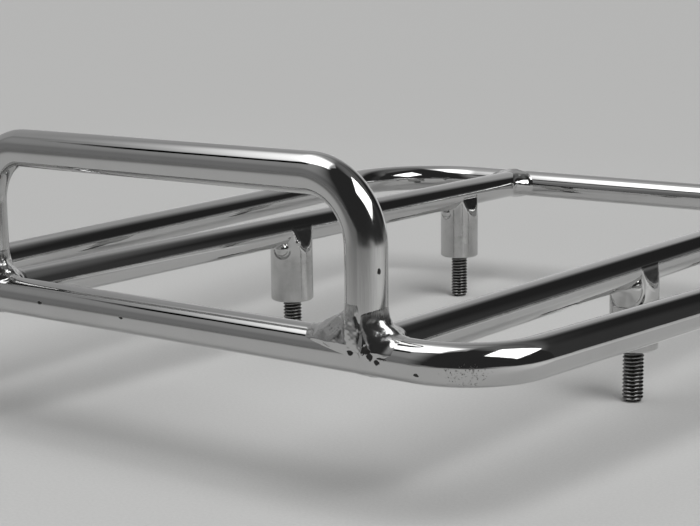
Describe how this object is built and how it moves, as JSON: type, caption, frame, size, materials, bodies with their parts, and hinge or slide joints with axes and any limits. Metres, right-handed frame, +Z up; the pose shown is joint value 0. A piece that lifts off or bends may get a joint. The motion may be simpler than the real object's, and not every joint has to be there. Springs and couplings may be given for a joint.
{
  "type": "motorcycle luggage rack",
  "caption": "Flat luggage rack of bent and welded round chromed tube: a tapering loop with lengthwise bars, an upright rear hoop, and posts with threaded studs beneath.",
  "frame": {"origin": "centre of the stud pattern, on the plane of the post feet", "axes": "+Z up, +Y towards the front of the machine, along the deck bars; the hoop is at the rear end; +X to the right"},
  "size_m": [0.3108, 0.3576, 0.1074],
  "materials": {
    "chrome_tube": "bright chrome plate, lightly pitted and scuffed",
    "chrome_weld": "chrome plate over uneven weld metal",
    "satin_post": "hazy, dulled plate",
    "stud_steel": "dark threaded steel"
  },
  "bodies": {
    "root": {"perimeter_loop": "chrome_tube", "rear_hoop": "chrome_tube", "deck_bar_left": "chrome_tube", "deck_bar_right": "chrome_tube", "hoop_weld_left": "chrome_weld", "bar_weld_rear_left": "chrome_weld", "post_weld_rear_left": "chrome_weld", "post_rear_left": "satin_post", "stud_rear_left": "stud_steel", "bar_weld_front_left": "chrome_weld", "post_weld_front_left": "chrome_weld", "post_front_left": "satin_post", "stud_front_left": "stud_steel", "hoop_weld_right": "chrome_weld", "bar_weld_rear_right": "chrome_weld", "post_weld_rear_right": "chrome_weld", "post_rear_right": "satin_post", "stud_rear_right": "stud_steel", "bar_weld_front_right": "chrome_weld", "post_weld_front_right": "chrome_weld", "post_front_right": "satin_post", "stud_front_right": "stud_steel"}
  },
  "joints": []
}
